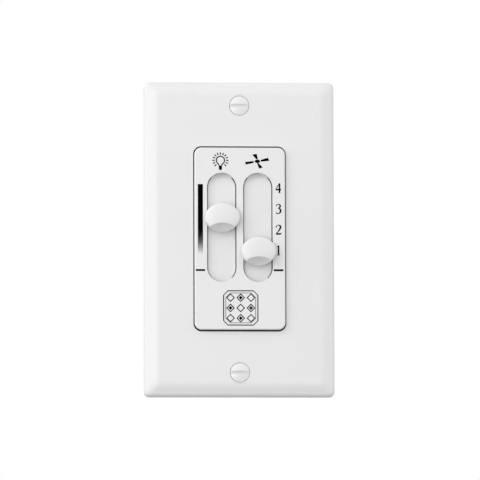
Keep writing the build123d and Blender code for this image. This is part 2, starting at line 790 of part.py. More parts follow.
# Terminals: brass plates on the housing's sides, a tang to the board, and binding screws
plate_x = (housing_width + terminal_plate_thick) / 2
with BuildPart() as terminal_plates:
    for side, z in terminal_places:
        block(tang_y, terminal_y + terminal_plate_depth / 2 - tang_y,
              (terminal_plate_thick, terminal_plate_height), (side * plate_x, z))
        tang_end = housing_width / 2 - terminal_tang_reach
        block(tang_y, terminal_plate_thick,
              (housing_width / 2 + terminal_plate_thick - tang_end, terminal_tang_width - 2 * socket_play),
              (side * (housing_width / 2 + terminal_plate_thick + tang_end) / 2, z))
        with Locations((side * plate_x, terminal_y, z)):
            Cylinder(terminal_screw_radius + socket_play, terminal_plate_thick + cut_over,
                     rotation=(0, 90, 0), mode=Mode.SUBTRACT)
terminal_plates.part.label = "terminal_plates"
export_step(terminal_plates.part, "parts/terminal_plates.step")


def binding_screw(seat, head_radius, shank_length, sides=0):
    """A slotted screw on its seat plane: a round or many-sided head outwards and a shank inwards."""
    with BuildSketch(seat) as head:
        if sides:
            RegularPolygon(head_radius, sides)
        else:
            Circle(head_radius)
    extrude(head.sketch, amount=terminal_head_rise)
    with BuildSketch(seat) as shank:
        Circle(terminal_screw_radius)
    extrude(shank.sketch, amount=-shank_length)
    with BuildSketch(seat.offset(terminal_head_rise)) as slot:
        Rectangle(2 * (head_radius + cut_over), screw_slot_width)
    extrude(slot.sketch, amount=-terminal_slot_depth, mode=Mode.SUBTRACT)


with BuildPart() as terminal_screws:
    seat_x = housing_width / 2 + terminal_plate_thick
    for side, z in terminal_places:
        outward = Plane((side * seat_x, terminal_y, z), x_dir=(0, 0, 1), z_dir=(side, 0, 0))
        binding_screw(outward, terminal_head_radius, terminal_plate_thick + terminal_screw_length)
    for side in (-1, 1):
        crown_x = side * (seat_x + terminal_head_rise)
        rim = terminal_screws.edges().filter_by_position(Axis.X, crown_x - 0.001, crown_x + 0.001)
        chamfer(rim.filter_by(GeomType.CIRCLE), terminal_head_chamfer)
terminal_screws.part.label = "terminal_screws"
export_step(terminal_screws.part, "parts/terminal_screws.step")

# Ground screw: in the strap, its six-sided head towards the box
with BuildPart() as ground_screw:
    inward = Plane((ground_place[0], strap_back, ground_place[1]), x_dir=(1, 0, 0), z_dir=(0, 1, 0))
    binding_screw(inward, ground_head_radius, strap_thick + ground_tip, sides=6)
ground_screw.part.label = "ground_screw"
export_step(ground_screw.part, "parts/ground_screw.step")
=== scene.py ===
# Looks for a one-gang wall control with a light slider and a fan speed slider.
# Lengths are metres, but the print, the lens and the sensor are in millimetres.
# +X is right seen from the front, +Y points into the wall and +Z is up.

import json
import math

import bmesh
import bpy
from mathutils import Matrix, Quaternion, Vector


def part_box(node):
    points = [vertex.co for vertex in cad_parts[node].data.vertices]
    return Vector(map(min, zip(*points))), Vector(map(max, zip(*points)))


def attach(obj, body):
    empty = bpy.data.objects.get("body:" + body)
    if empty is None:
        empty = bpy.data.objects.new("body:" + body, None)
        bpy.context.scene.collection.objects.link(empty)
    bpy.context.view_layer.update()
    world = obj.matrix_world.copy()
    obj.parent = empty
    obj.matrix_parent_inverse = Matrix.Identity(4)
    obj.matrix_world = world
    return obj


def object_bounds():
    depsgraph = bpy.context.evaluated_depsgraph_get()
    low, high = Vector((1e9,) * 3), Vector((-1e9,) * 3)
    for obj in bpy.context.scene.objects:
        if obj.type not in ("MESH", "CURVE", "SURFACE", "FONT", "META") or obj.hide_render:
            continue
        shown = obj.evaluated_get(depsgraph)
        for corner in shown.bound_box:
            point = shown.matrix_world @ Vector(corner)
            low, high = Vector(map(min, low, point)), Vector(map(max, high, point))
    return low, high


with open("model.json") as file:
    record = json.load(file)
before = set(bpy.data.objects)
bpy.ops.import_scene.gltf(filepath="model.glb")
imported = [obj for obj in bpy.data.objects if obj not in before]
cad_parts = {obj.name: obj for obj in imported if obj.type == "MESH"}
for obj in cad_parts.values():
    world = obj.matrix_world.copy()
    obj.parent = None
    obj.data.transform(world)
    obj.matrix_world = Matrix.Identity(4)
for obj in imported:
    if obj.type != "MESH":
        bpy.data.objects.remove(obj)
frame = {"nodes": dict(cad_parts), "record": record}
cad_low, cad_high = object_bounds()

MM = 0.001

# Places read from the frame
face_low, face_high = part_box("face_frame")
plate_low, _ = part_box("wall_plate")
_, screw_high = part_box("plate_screws")
face_y = face_low.y
screw_radius = screw_high.x
screw_place = screw_high.z - screw_radius

# Camera: a long lens, a little to the left of the plate and a little below it
view_azimuth = math.radians(-4.0)
view_elevation = math.radians(-5.0)
view_roll = math.radians(-0.17)
view_field = 173.4 * MM
sensor = 36.0
lens = 400.0
target = Vector((0.0, face_y, -0.6 * MM))

# Painted shade in the joints round the insert's face and the plate's two screws
flange_reach = 1.8 * MM
joint_reach = 1.0 * MM
joint_depth = 0.7 * MM
screw_reach = 0.8 * MM

# Plate screws: painted heads with painted shade in their slots, bare shanks and threads
paint_depth = 2.3 * MM
shank_start = plate_low.y + paint_depth
shank_radius = 1.68 * MM
slot_half = 0.6 * MM
painted_slot_shade = (0.7, 0.7, 0.69)
thread_start = shank_start + 0.1 * MM
thread_end = screw_high.y - 0.5 * MM
thread_pitch = 0.79 * MM
thread_height = 0.16 * MM
thread_sink = 0.1 * MM
thread_steps = 32

# The ridge of the thread: places along it in pitches, and heights from its foot, 0, to its crest, 1
thread_profile = ((-0.42, 0.0), (-0.1, 1.0), (0.1, 1.0), (0.42, 0.0))

# Light: the name, direction, distance, size and level of each soft lamp
lamps = (
    ("key_lamp", Vector((-0.57, -0.67, 0.47)), 0.9, 0.7, 0.26),
    ("front_lamp", Vector((-0.4, -1.0, -0.1)), 2.5, 0.8, 0.17),
    ("left_lamp", Vector((-1.0, -0.35, 0.1)), 1.0, 1.3, 0.41),
    ("right_lamp", Vector((1.0, -0.3, 0.0)), 1.0, 1.3, 0.33),
)

# The level all round, and a floor that lies below the lamps
ambient = 0.7
floor_bounce = 0.37
floor_drop = 600 * MM
floor_size = 12.0

# The ink's thickness above the face and below it
ink_rise = 0.02 * MM
ink_sink = 0.02 * MM

# Moulded plastic, with noise scales per metre here and below
flow_scale = 55.0
flow_roughness = 0.12
flow_height = 0.6
speck_scale = 1500.0
speck_threshold = 0.76
speck_tint = (0.25, 0.23, 0.2)

# Dust on faces that look up, and painted shade on faces that look down and in the joints
dust_and_shade_scale = 700.0
dust_and_shade_tint = (0.55, 0.53, 0.5)
# Painted shade in the joints: its noise scale, its least share and its near-black tint
painted_joint_noise_scale = 900.0
painted_joint_least = 0.6
painted_joint_tint = (0.012, 0.012, 0.012)

# Worked metal
along_x = (300.0, 9000.0, 9000.0)
along_z = (9000.0, 9000.0, 300.0)
even = (5000.0, 5000.0, 5000.0)
stain_scale = 180.0
nick_scale = 2600.0
nick_threshold = 0.72
nick_depth = 0.4
streak_roughness = 0.25
streak_bump = 0.003 * MM

# Laminate
cloud_scale = 120.0
thread_wander = 0.6
weave_bump = 0.01 * MM
weave_strength = 0.6

# Copper wire
wire_stripes = 300.0
wire_bump = 0.1 * MM

# Parts with leads: lengths from the ends of their boxes
triac_tab_end = 6.4 * MM
triac_body_end = 15.4 * MM
lead_length = 2.8 * MM

# The resistors' rings, brown, black, orange and gold, with their places as shares of the length
ring_half = 0.35 * MM
ring_tints = ((0.38, (0.12, 0.04, 0.015)), (0.46, (0.01, 0.01, 0.01)), (0.54, (0.7, 0.2, 0.02)),
              (0.64, (0.55, 0.38, 0.1)))

# Colours that several pieces share
white = (0.8, 0.8, 0.8)
tin = (0.7, 0.7, 0.7)


# Shader node groups

def new_group(name, inputs, outputs):
    """An empty shader node group with named sockets. Inputs give a type and a starting value."""
    group = bpy.data.node_groups.new(name, "ShaderNodeTree")
    for label, kind, value in inputs:
        socket = group.interface.new_socket(label, in_out="INPUT", socket_type=kind)
        socket.default_value = value
    for label, kind in outputs:
        group.interface.new_socket(label, in_out="OUTPUT", socket_type=kind)
    return group, group.nodes.new("NodeGroupInput"), group.nodes.new("NodeGroupOutput")


def noise(tree, vector, scale, detail, distortion=0.0):
    """A noise texture on a vector. Scale is a number or a socket."""
    node = tree.nodes.new("ShaderNodeTexNoise")
    node.inputs["Detail"].default_value = detail
    node.inputs["Distortion"].default_value = distortion
    tree.links.new(vector, node.inputs["Vector"])
    if isinstance(scale, (int, float)):
        node.inputs["Scale"].default_value = scale
    else:
        tree.links.new(scale, node.inputs["Scale"])
    return node.outputs["Fac"]


def calculate(tree, operation, *values):
    """A Math node on numbers and sockets."""
    node = tree.nodes.new("ShaderNodeMath")
    node.operation = operation
    for slot, value in zip(node.inputs, values):
        if isinstance(value, (int, float)):
            slot.default_value = value
        else:
            tree.links.new(value, slot)
    return node.outputs[0]


def blend_colors(tree, factor, first, second):
    """A colour Mix node. The factor is a number or a socket, and colours are tuples or sockets."""
    node = tree.nodes.new("ShaderNodeMix")
    node.data_type = "RGBA"
    sockets = [s for s in node.inputs if s.enabled]
    for slot, value in zip(sockets, (factor, first, second)):
        if isinstance(value, (int, float)):
            slot.default_value = value
        elif isinstance(value, tuple):
            slot.default_value = value + (1.0,)
        else:
            tree.links.new(value, slot)
    return [s for s in node.outputs if s.enabled][0]


def object_point(tree):
    """The shaded point in the piece's own coordinates, in metres."""
    return tree.nodes.new("ShaderNodeTexCoord").outputs["Object"]


def build_moulded_skin():
    """Moulded plastic: fine spark grain, slow flow marks, and a few specks."""
    group, start, end = new_group("moulded_skin", (
        ("Color", "NodeSocketColor", (0.8, 0.8, 0.8, 1.0)),
        ("Grain Size", "NodeSocketFloat", 6000.0),
        ("Flow", "NodeSocketFloat", 0.02),
        ("Specks", "NodeSocketFloat", 0.0),
        ("Roughness", "NodeSocketFloat", 0.4)),
        (("Color", "NodeSocketColor"), ("Roughness", "NodeSocketFloat"), ("Height", "NodeSocketFloat")))
    point = object_point(group)
    grain = noise(group, point, start.outputs["Grain Size"], 3.0)
    flow = noise(group, point, flow_scale, 2.0, 0.6)
    spots = noise(group, point, speck_scale, 1.0)
    speck = calculate(group, "MULTIPLY", calculate(group, "GREATER_THAN", spots, speck_threshold),
                      start.outputs["Specks"])
    sway = calculate(group, "SUBTRACT", flow, 0.5)
    shade = calculate(group, "MULTIPLY", sway, start.outputs["Flow"])
    darker = calculate(group, "ADD", calculate(group, "MAXIMUM", shade, 0.0), speck)
    color = blend_colors(group, darker, start.outputs["Color"], speck_tint)
    rough = calculate(group, "ADD", start.outputs["Roughness"],
                      calculate(group, "MULTIPLY", sway, flow_roughness))
    height = calculate(group, "ADD", grain, calculate(group, "MULTIPLY", flow, flow_height))
    group.links.new(color, end.inputs["Color"])
    group.links.new(rough, end.inputs["Roughness"])
    group.links.new(height, end.inputs["Height"])
    return group


def build_dust_and_painted_shade():
    """Dust on faces that look up, and painted shade on faces that look down, broken by noise."""
    group, start, end = new_group("dust_and_painted_shade", (
        ("Color", "NodeSocketColor", (0.8, 0.8, 0.8, 1.0)),
        ("Amount", "NodeSocketFloat", 0.1),
        ("Finger Marks", "NodeSocketFloat", 0.0)),
        (("Color", "NodeSocketColor"),))
    geometry = group.nodes.new("ShaderNodeNewGeometry")
    parts = group.nodes.new("ShaderNodeSeparateXYZ")
    group.links.new(geometry.outputs["Normal"], parts.inputs[0])
    upward = calculate(group, "MAXIMUM", parts.outputs["Z"], 0.0)
    # Painted shade on faces that look down
    downward = calculate(group, "MAXIMUM", calculate(group, "MULTIPLY", parts.outputs["Z"], -1.0), 0.0)
    patches = noise(group, object_point(group), dust_and_shade_scale, 4.0)
    cover = calculate(group, "ADD", calculate(group, "MULTIPLY", upward, start.outputs["Amount"]),
                      calculate(group, "MULTIPLY", downward, start.outputs["Finger Marks"]))
    mask = calculate(group, "MULTIPLY", cover, patches)
    color = blend_colors(group, mask, start.outputs["Color"], dust_and_shade_tint)
    group.links.new(color, end.inputs["Color"])
    return group


def build_painted_joint_shade():
    """Painted shade in the joints round the insert and the plate screws, darker with depth below the
    plate.
    """
    group, start, end = new_group("painted_joint_shade", (
        ("Color", "NodeSocketColor", (0.8, 0.8, 0.8, 1.0)),
        ("Amount", "NodeSocketFloat", 1.0)),
        (("Color", "NodeSocketColor"),))
    parts = group.nodes.new("ShaderNodeSeparateXYZ")
    group.links.new(object_point(group), parts.inputs[0])
    beside = []
    for axis, half in (("X", face_high.x), ("Z", face_high.z)):
        away = calculate(group, "ABSOLUTE", parts.outputs[axis])
        beside.append(calculate(group, "SUBTRACT", away, half - flange_reach))
    outside = calculate(group, "MAXIMUM", *beside)
    beside_insert = calculate(group, "LESS_THAN", calculate(group, "ABSOLUTE", outside), joint_reach)
    along = calculate(group, "SUBTRACT", calculate(group, "ABSOLUTE", parts.outputs["Z"]), screw_place)
    radius = calculate(group, "SQRT", calculate(group, "ADD", calculate(group, "POWER", along, 2.0),
                                                calculate(group, "POWER", parts.outputs["X"], 2.0)))
    off_rim = calculate(group, "ABSOLUTE", calculate(group, "SUBTRACT", radius, screw_radius))
    beside_screw = calculate(group, "LESS_THAN", off_rim, screw_reach)
    near = calculate(group, "MAXIMUM", beside_insert, beside_screw)
    depth = calculate(group, "DIVIDE", calculate(group, "SUBTRACT", parts.outputs["Y"], plate_low.y),
                      joint_depth)
    patches = calculate(group, "ADD", noise(group, object_point(group), painted_joint_noise_scale, 3.0), painted_joint_least)
    patchy = calculate(group, "MULTIPLY", depth, patches)
    shade = calculate(group, "MULTIPLY", patchy, start.outputs["Amount"])
    inside = calculate(group, "MINIMUM", calculate(group, "MAXIMUM", shade, 0.0), 1.0)
    mask = calculate(group, "MULTIPLY", inside, near)
    color = blend_colors(group, mask, start.outputs["Color"], painted_joint_tint)
    group.links.new(color, end.inputs["Color"])
    return group


def build_worked_metal():
    """Rolled, drawn or turned metal: fine streaks, soft stains and scattered nicks.

    Streaks are noise scales by axis, low along the streaks and high across them.
    """
    group, start, end = new_group("worked_metal", (
        ("Color", "NodeSocketColor", (0.7, 0.7, 0.7, 1.0)),
        ("Stain", "NodeSocketColor", (0.4, 0.38, 0.35, 1.0)),
        ("Stain Amount", "NodeSocketFloat", 0.3),
        ("Streaks", "NodeSocketVector", (400.0, 400.0, 9000.0)),
        ("Roughness", "NodeSocketFloat", 0.3)),
        (("Color", "NodeSocketColor"), ("Roughness", "NodeSocketFloat"), ("Height", "NodeSocketFloat")))
    point = object_point(group)
    stretch = group.nodes.new("ShaderNodeVectorMath")
    stretch.operation = "MULTIPLY"
    group.links.new(point, stretch.inputs[0])
    group.links.new(start.outputs["Streaks"], stretch.inputs[1])
    streak = noise(group, stretch.outputs[0], 1.0, 3.0)
    stain = noise(group, point, stain_scale, 4.0, 0.8)
    nicks = calculate(group, "GREATER_THAN", noise(group, point, nick_scale, 1.0), nick_threshold)
    mask = calculate(group, "MULTIPLY", calculate(group, "MULTIPLY", stain, stain),
                     start.outputs["Stain Amount"])
    color = blend_colors(group, mask, start.outputs["Color"], start.outputs["Stain"])
    rough = calculate(group, "ADD", start.outputs["Roughness"],
                      calculate(group, "MULTIPLY", calculate(group, "SUBTRACT", streak, 0.5),
                                streak_roughness))
    height = calculate(group, "SUBTRACT", streak, calculate(group, "MULTIPLY", nicks, nick_depth))
    group.links.new(color, end.inputs["Color"])
    group.links.new(rough, end.inputs["Roughness"])
    group.links.new(height, end.inputs["Height"])
    return group


def build_laminate():
    """Glass or paper laminate: two crossed thread directions under a coat, with a cloudy tint."""
    group, start, end = new_group("laminate", (
        ("Color", "NodeSocketColor", (0.1, 0.3, 0.1, 1.0)),
        ("Thread", "NodeSocketColor", (0.2, 0.4, 0.2, 1.0)),
        ("Threads", "NodeSocketFloat", 1300.0),
        ("Show", "NodeSocketFloat", 0.25)),
        (("Color", "NodeSocketColor"), ("Height", "NodeSocketFloat")))
    point = object_point(group)
    waves = []
    for direction in ("X", "Z"):
        wave = group.nodes.new("ShaderNodeTexWave")
        wave.bands_direction = direction
        wave.inputs["Distortion"].default_value = thread_wander
        group.links.new(point, wave.inputs["Vector"])
        group.links.new(start.outputs["Threads"], wave.inputs["Scale"])
        waves.append(wave.outputs["Fac"])
    weave = calculate(group, "MAXIMUM", *waves)
    cloudy = calculate(group, "MULTIPLY", weave, noise(group, point, cloud_scale, 3.0))
    mask = calculate(group, "MULTIPLY", cloudy, start.outputs["Show"])
    color = blend_colors(group, mask, start.outputs["Color"], start.outputs["Thread"])
    group.links.new(color, end.inputs["Color"])
    group.links.new(weave, end.inputs["Height"])
    return group


moulded_skin = build_moulded_skin()
dust_and_painted_shade = build_dust_and_painted_shade()
painted_joint_shade = build_painted_joint_shade()
worked_metal = build_worked_metal()
laminate = build_laminate()


# Materials

materials = {}


def start_material(name):
    """Adds a material under its name, and gives its node tree and its Principled shader."""
    materials[name] = bpy.data.materials.new(name)
    materials[name].use_nodes = True
    tree = materials[name].node_tree
    return tree, tree.nodes["Principled BSDF"]


def place_group(tree, group, **values):
    """A group node with its values set. A name's underscores stand for spaces."""
    node = tree.nodes.new("ShaderNodeGroup")
    node.node_tree = group
    for label, value in values.items():
        slot = node.inputs[label.replace("_", " ").title()]
        if isinstance(value, bpy.types.NodeSocket):
            tree.links.new(value, slot)
        else:
            slot.default_value = value + (1.0,) if slot.type == "RGBA" else value
    return node


def add_bump(tree, shader, height, depth, strength=1.0):
    """Bump of a real depth, in metres, on the shader's normal."""
    bump = tree.nodes.new("ShaderNodeBump")
    bump.inputs["Strength"].default_value = strength
    bump.inputs["Distance"].default_value = depth
    tree.links.new(height, bump.inputs["Height"])
    tree.links.new(bump.outputs["Normal"], shader.inputs["Normal"])


def plastic(name, color, roughness, grain=6000.0, depth=0.002 * MM, flow=0.06, specks=0.0, dust_and_shade=0.12,
            finger_marks=0.0, joint=0.0):
    """Moulded plastic: grain, flow marks, dust facing up, and painted shade facing down and in its
    joints.
    """
    tree, shader = start_material(name)
    skin = place_group(tree, moulded_skin, color=color, grain_size=grain, flow=flow, specks=specks,
                       roughness=roughness)
    # Dust on faces that look up, and painted shade on faces that look down
    dusted_and_shaded = place_group(tree, dust_and_painted_shade, color=skin.outputs["Color"], amount=dust_and_shade,
                        finger_marks=finger_marks)
    # Painted shade in the joints, as strong as the joint value
    jointed = place_group(tree, painted_joint_shade, color=dusted_and_shaded.outputs["Color"], amount=joint)
    tree.links.new(jointed.outputs["Color"], shader.inputs["Base Color"])
    tree.links.new(skin.outputs["Roughness"], shader.inputs["Roughness"])
    add_bump(tree, shader, skin.outputs["Height"], depth)


def metal(name, color, stain, roughness, streaks, amount=0.3, metallic=1.0):
    """Worked metal with streaks, stains and nicks."""
    tree, shader = start_material(name)
    surface = place_group(tree, worked_metal, color=color, stain=stain, stain_amount=amount,
                          streaks=streaks, roughness=roughness)
    tree.links.new(surface.outputs["Color"], shader.inputs["Base Color"])
    tree.links.new(surface.outputs["Roughness"], shader.inputs["Roughness"])
    shader.inputs["Metallic"].default_value = metallic
    add_bump(tree, shader, surface.outputs["Height"], streak_bump)


def board(name, color, thread, show, threads, roughness):
    """A laminate board with its weave showing through the coat."""
    tree, shader = start_material(name)
    sheet = place_group(tree, laminate, color=color, thread=thread, threads=threads, show=show)
    skin = place_group(tree, moulded_skin, color=sheet.outputs["Color"], flow=0.3, specks=0.05,
                       roughness=roughness)
    tree.links.new(skin.outputs["Color"], shader.inputs["Base Color"])
    tree.links.new(skin.outputs["Roughness"], shader.inputs["Roughness"])
    add_bump(tree, shader, sheet.outputs["Height"], weave_bump, weave_strength)


def ink():
    """Black printing ink with a faint unevenness and hardly any shine."""
    tree, shader = start_material("print_ink")
    skin = place_group(tree, moulded_skin, color=(0.0006, 0.0006, 0.0006), grain_size=5000.0, flow=0.02,
                       roughness=0.5)
    tree.links.new(skin.outputs["Color"], shader.inputs["Base Color"])
    tree.links.new(skin.outputs["Roughness"], shader.inputs["Roughness"])
    shader.inputs["Specular IOR Level"].default_value = 0.01
    add_bump(tree, shader, skin.outputs["Height"], 0.001 * MM)


def enamelled_wire():
    """Copper wire laid turn by turn: a stripe for each wire under brown lacquer."""
    tree, shader = start_material("copper_wire")
    wave = tree.nodes.new("ShaderNodeTexWave")
    wave.bands_direction = "Y"
    wave.inputs["Scale"].default_value = wire_stripes
    wave.inputs["Distortion"].default_value = 0.3
    tree.links.new(object_point(tree), wave.inputs["Vector"])
    surface = place_group(tree, worked_metal, color=(0.62, 0.22, 0.08), stain=(0.3, 0.08, 0.03),
                          stain_amount=0.6, streaks=even, roughness=0.26)
    dark = blend_colors(tree, calculate(tree, "MULTIPLY", wave.outputs["Fac"], 0.5),
                        surface.outputs["Color"], (0.1, 0.03, 0.01))
    tree.links.new(dark, shader.inputs["Base Color"])
    tree.links.new(surface.outputs["Roughness"], shader.inputs["Roughness"])
    shader.inputs["Metallic"].default_value = 0.8
    add_bump(tree, shader, wave.outputs["Fac"], wire_bump)


def axis_mask(tree, axis, low, high):
    """One where a coordinate of the piece lies between two values, nought elsewhere."""
    parts = tree.nodes.new("ShaderNodeSeparateXYZ")
    tree.links.new(object_point(tree), parts.inputs[0])
    above = calculate(tree, "GREATER_THAN", parts.outputs[axis], low)
    below = calculate(tree, "LESS_THAN", parts.outputs[axis], high)
    return calculate(tree, "MULTIPLY", above, below)


def part_metal(name, body_color, bare_part, metal_color=tin, roughness=0.42, joint=0.0, bands=()):
    """A painted or lacquered body, with any bands, whose leads, tab or shank are bare metal."""
    tree, shader = start_material(name)
    for low, high, tint in bands:
        body_color = blend_colors(tree, axis_mask(tree, "Z", low, high), body_color, tint)
    skin = place_group(tree, moulded_skin, color=body_color, grain_size=3000.0, flow=0.15, specks=0.03,
                       roughness=roughness)
    # Painted shade in the joints, as strong as the joint value
    jointed = place_group(tree, painted_joint_shade, color=skin.outputs["Color"], amount=joint)
    tinned = place_group(tree, worked_metal, color=metal_color, roughness=0.3)
    bare = bare_part(tree)
    tree.links.new(blend_colors(tree, bare, jointed.outputs["Color"], tinned.outputs["Color"]),
                   shader.inputs["Base Color"])
    tree.links.new(bare, shader.inputs["Metallic"])
    tree.links.new(skin.outputs["Roughness"], shader.inputs["Roughness"])
    add_bump(tree, shader, skin.outputs["Height"], 0.006 * MM)


def tab_and_leads(tree):
    """The triac's tab and its three leads."""
    low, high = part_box("triac")
    tab = axis_mask(tree, "X", low.x - MM, low.x + triac_tab_end)
    leads = axis_mask(tree, "X", low.x + triac_body_end, high.x + MM)
    return calculate(tree, "MAXIMUM", tab, leads)


def leads_of(node):
    """Picks the bare leads past both ends of the bodies in a node."""
    def leads(tree):
        low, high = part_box(node)
        return calculate(tree, "MAXIMUM", axis_mask(tree, "Z", low.z - MM, low.z + lead_length),
                         axis_mask(tree, "Z", high.z - lead_length, high.z + MM))
    return leads


def shanks(tree):
    """The plate screws' shanks, bare behind their painted heads."""
    return axis_mask(tree, "Y", shank_start, screw_high.y + MM)


def painted_slot_bands():
    """Painted shade in the slots of both plate screws."""
    return [(place - slot_half, place + slot_half, painted_slot_shade) for place in (-screw_place, screw_place)]


def resistor_bands():
    """The resistors' colour rings."""
    low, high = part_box("resistors")
    places = [(low.z + share * (high.z - low.z), tint) for share, tint in ring_tints]
    return [(place - ring_half, place + ring_half, tint) for place, tint in places]


# The front: white mouldings, painted screws and black print
# The plate gets painted shade in the joint round the insert and round its screw holes
plastic("plate_plastic", white, 0.38, joint=1.4)
# The insert's heavy dust on up-facing faces stands partly as painted shade, and its joints get painted
# shade too
plastic("frame_plastic", white, 0.36, dust_and_shade=0.7, joint=1.6)
# The knobs' scoops look down, so the down-facing painted shade darkens them
plastic("knob_plastic", (0.79, 0.79, 0.79), 0.34, grain=7000.0, depth=0.0015 * MM, finger_marks=0.9)
# The screws get painted shade in their slots, and round their rims by the joint value 0.8
part_metal("plate_screw_paint", (0.81, 0.81, 0.81), shanks, (0.66, 0.66, 0.64), 0.3, 0.8, painted_slot_bands())
ink()

# The mouldings behind the plate
plastic("housing_plastic", (0.035, 0.035, 0.038), 0.5, grain=4200.0, depth=0.012 * MM, flow=0.1,
        specks=0.03, dust_and_shade=0.25)
plastic("carriage_nylon", (0.76, 0.74, 0.67), 0.45, grain=3000.0, depth=0.004 * MM, flow=0.15)
plastic("switch_phenolic", (0.03, 0.025, 0.022), 0.4, grain=2500.0, depth=0.006 * MM, flow=0.2,
        specks=0.08)

# Steel, brass and other metal
metal("saddle_steel", (0.62, 0.62, 0.6), (0.3, 0.28, 0.26), 0.28, along_x)
metal("strap_steel", (0.66, 0.67, 0.68), (0.42, 0.42, 0.38), 0.34, along_z, amount=0.5)
metal("housing_screw_steel", (0.62, 0.61, 0.57), (0.35, 0.31, 0.25), 0.3, even)
metal("cover_steel", (0.63, 0.63, 0.62), (0.4, 0.39, 0.36), 0.3, along_z)
metal("spring_bronze", (0.78, 0.48, 0.26), (0.4, 0.2, 0.1), 0.24, along_z)
metal("stud_brass", (0.8, 0.6, 0.28), (0.45, 0.3, 0.12), 0.22, even)
metal("rivet_aluminium", (0.78, 0.78, 0.79), (0.5, 0.5, 0.5), 0.36, even)
metal("terminal_brass", (0.79, 0.58, 0.25), (0.42, 0.27, 0.1), 0.28, along_x, amount=0.45)
metal("ground_green", (0.03, 0.3, 0.1), (0.02, 0.12, 0.05), 0.33, even, amount=0.5, metallic=0.6)

# The boards and what they carry
board("board_laminate", (0.03, 0.14, 0.05), (0.12, 0.32, 0.12), 0.5, 1300.0, 0.3)
board("track_laminate", (0.2, 0.1, 0.045), (0.4, 0.24, 0.12), 0.6, 900.0, 0.45)
plastic("ferrite", (0.05, 0.05, 0.052), 0.6, grain=2200.0, depth=0.02 * MM, flow=0.3, specks=0.2)
plastic("capacitor_case", (0.72, 0.5, 0.06), 0.32, grain=3000.0, depth=0.004 * MM, flow=0.12)
enamelled_wire()
part_metal("triac_epoxy", (0.02, 0.02, 0.022), tab_and_leads)
part_metal("resistor_body", (0.62, 0.48, 0.28), leads_of("resistors"), bands=resistor_bands())
part_metal("fuse_case", (0.8, 0.79, 0.74), leads_of("thermal_fuse"))


# Each piece of the frame gets its material

for entry in frame["record"]["subparts"]:
    piece = frame["nodes"][entry["node"]]
    piece.data.materials.clear()
    piece.data.materials.append(materials[entry["material_slot"]])


# Mesh helpers: print is drawn in millimetres on the face

curve_steps = 6
arc_steps = 40


def finish_mesh(name, builder, material, body):
    """Turns a mesh builder into a piece that rides on a body."""
    bmesh.ops.recalc_face_normals(builder, faces=builder.faces)
    mesh = bpy.data.meshes.new(name)
    builder.to_mesh(mesh)
    builder.free()
    mesh.materials.append(materials[material])
    piece = bpy.data.objects.new(name, mesh)
    bpy.context.scene.collection.objects.link(piece)
    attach(piece, body)


def smooth_line(points):
    """A smooth line through the points, by a Catmull-Rom spline on each of their numbers."""
    padded = [points[0]] + list(points) + [points[-1]]
    line = []
    for span in zip(padded, padded[1:], padded[2:], padded[3:]):
        for step in range(curve_steps):
            t = step / curve_steps
            line.append(tuple(
                0.5 * (2 * q + (r - p) * t + (2 * p - 5 * q + 4 * r - s) * t ** 2
                       + (3 * q - p - 3 * r + s) * t ** 3)
                for p, q, r, s in zip(*span)))
    line.append(tuple(points[-1]))
    return line


def arc_line(radius, width, start, sweep):
    """Points of a round stroke, in degrees from the right and anticlockwise."""
    angles = [math.radians(start + sweep * i / arc_steps) for i in range(arc_steps + 1)]
    return [(radius * math.cos(angle), radius * math.sin(angle), width) for angle in angles]


def ink_point(builder, x, z):
    """A corner of the print on top of the ink."""
    return builder.verts.new((x * MM, face_y - ink_rise, z * MM))


def add_polygon(builder, outline, centre=(0.0, 0.0)):
    """A filled patch of ink from an outline round a centre."""
    builder.faces.new([ink_point(builder, centre[0] + x, centre[1] + z) for x, z in outline])


def add_stroke(builder, line, centre=(0.0, 0.0), closed=False):
    """A stroke of ink along (x, z, width) points round a centre."""
    count = len(line)
    sides = []
    for i, (x, z, width) in enumerate(line):
        before = line[(i - 1) % count] if closed or i else line[i]
        after = line[(i + 1) % count] if closed or i < count - 1 else line[i]
        along = Vector((after[0] - before[0], after[1] - before[1])).normalized()
        across = Vector((-along.y, along.x)) * (width / 2)
        sides.append([ink_point(builder, centre[0] + x + side * across.x, centre[1] + z + side * across.y)
                      for side in (-1, 1)])
    for i in range(count if closed else count - 1):
        here, there = sides[i], sides[(i + 1) % count]
        builder.faces.new((here[0], there[0], there[1], here[1]))


def print_piece(name, builder):
    """Gives the ink its thickness and lays it on the face."""
    bmesh.ops.recalc_face_normals(builder, faces=builder.faces)
    grown = bmesh.ops.extrude_face_region(builder, geom=builder.faces[:])
    for vertex in (g for g in grown["geom"] if isinstance(g, bmesh.types.BMVert)):
        vertex.co.y = face_y + ink_sink
    finish_mesh(name, builder, "print_ink", "chassis")


# Print: numbers beside the fan slider

number_x = 13.97
number_places = (("4", 18.26), ("3", 10.73), ("2", 3.2), ("1", -4.31))
digit_boldness = 1.3
digit_growth = 1.05

